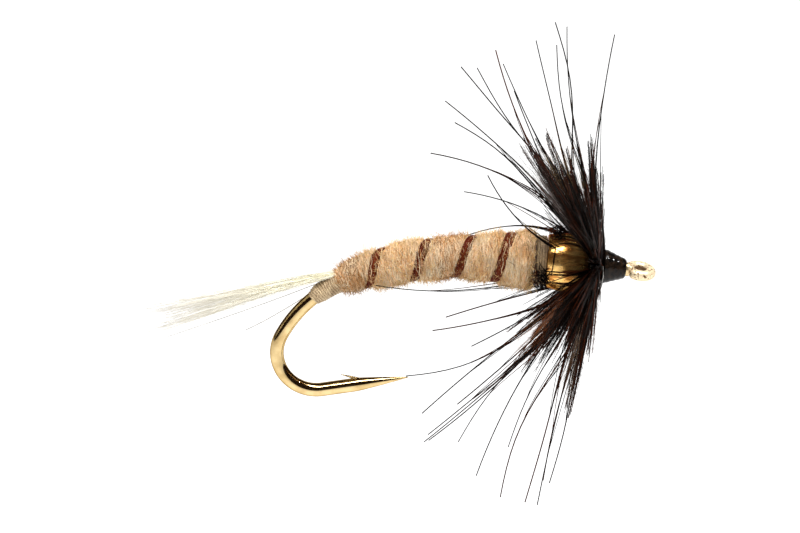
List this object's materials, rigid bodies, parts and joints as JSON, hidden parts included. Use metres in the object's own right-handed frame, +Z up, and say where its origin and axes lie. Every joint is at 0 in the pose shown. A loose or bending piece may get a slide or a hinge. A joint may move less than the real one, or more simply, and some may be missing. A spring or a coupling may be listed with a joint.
{
  "type": "fishing fly",
  "caption": "Soft-hackle fishing fly on a curved gold hook: ribbed fur body, gold cone thorax, swept dark hackle, pale tail and varnished thread head.",
  "frame": {"origin": "centre of the hook eye's hole", "axes": "+X forward past the eye, +Z up on the shank side with the gape in the XZ plane, +Y to the far side"},
  "size_m": [0.0237, 0.0227, 0.0227],
  "materials": {
    "gold_wire": "polished",
    "gold_cone": "polished",
    "tan_thread": "waxed",
    "dark_thread": "waxed",
    "black_thread": "waxed",
    "dubbing": "fuzzy",
    "guard_hair": "matte",
    "rib": "satin",
    "tail": "satin",
    "hackle": "satin",
    "down": "soft",
    "varnish": "wet gloss"
  },
  "bodies": {
    "root": {"hook": "gold_wire", "thread_base": "tan_thread", "rear_thread_wraps": "tan_thread", "tail_fibres": "tail", "tail_binding": "tan_thread", "dubbed_body": "dubbing", "guard_hairs": "guard_hair", "rib_strand": "rib", "rib_tie_off": "dark_thread", "thread_collar": "tan_thread", "gold_cone": "gold_cone", "cone_packing": "tan_thread", "caught_barbs": "hackle", "hackle_stem": "hackle", "hackle_barbs_rear": "hackle", "hackle_barbs_middle": "hackle", "hackle_barbs_front": "hackle", "hackle_swept_barbs": "hackle", "hackle_down": "down", "head_thread": "black_thread", "whip_finish": "black_thread", "head_varnish": "varnish"}
  },
  "joints": []
}
